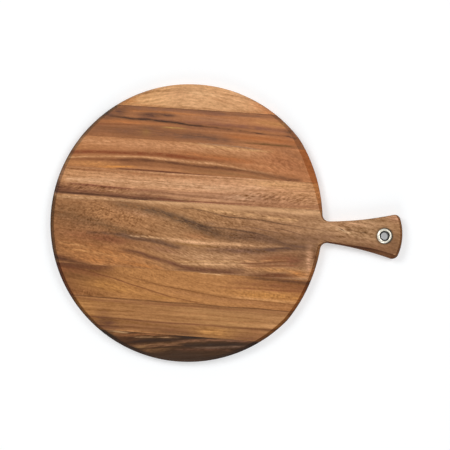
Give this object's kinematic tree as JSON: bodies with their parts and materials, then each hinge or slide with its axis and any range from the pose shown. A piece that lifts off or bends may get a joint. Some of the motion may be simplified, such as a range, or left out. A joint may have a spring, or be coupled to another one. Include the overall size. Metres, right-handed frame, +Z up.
{
  "type": "pizza serving board",
  "caption": "Round edge-glued hardwood serving board with a short flared handle, a bevelled upper edge and a metal eyelet to hang it by.",
  "frame": {"origin": "middle of the round, on the underside that rests on the table", "axes": "+X along the handle and the grain, +Y across the staves, +Z up out of the serving face"},
  "size_m": [0.451, 0.356, 0.0177],
  "materials": {
    "wood_tan": "oiled hardwood, pale and flecked",
    "wood_brown": "oiled hardwood, brown with dark streaks",
    "wood_russet": "oiled hardwood, red-brown with fine lines",
    "wood_sand": "oiled hardwood, pale with a dark band",
    "wood_figured": "oiled hardwood, greyish brown with curved dark figure",
    "wood_honey": "oiled hardwood, honey brown",
    "wood_amber": "oiled hardwood, honey brown with fine straight lines",
    "wood_dark": "oiled hardwood, very dark heartwood",
    "glue": "cured brown wood glue, sanded flush",
    "eyelet_metal": "pressed and plated sheet steel, lightly worn"
  },
  "bodies": {
    "root": {"stave_1": "wood_tan", "stave_2": "wood_brown", "stave_3": "wood_russet", "stave_4": "wood_sand", "handle_stave": "wood_figured", "stave_6": "wood_honey", "stave_7": "wood_amber", "stave_8": "wood_dark", "glue_line_1": "glue", "glue_line_2": "glue", "glue_line_3": "glue", "glue_line_4": "glue", "glue_line_5": "glue", "glue_line_6": "glue", "glue_line_7": "glue", "eyelet_barrel": "eyelet_metal", "eyelet_washer": "eyelet_metal"}
  },
  "joints": []
}
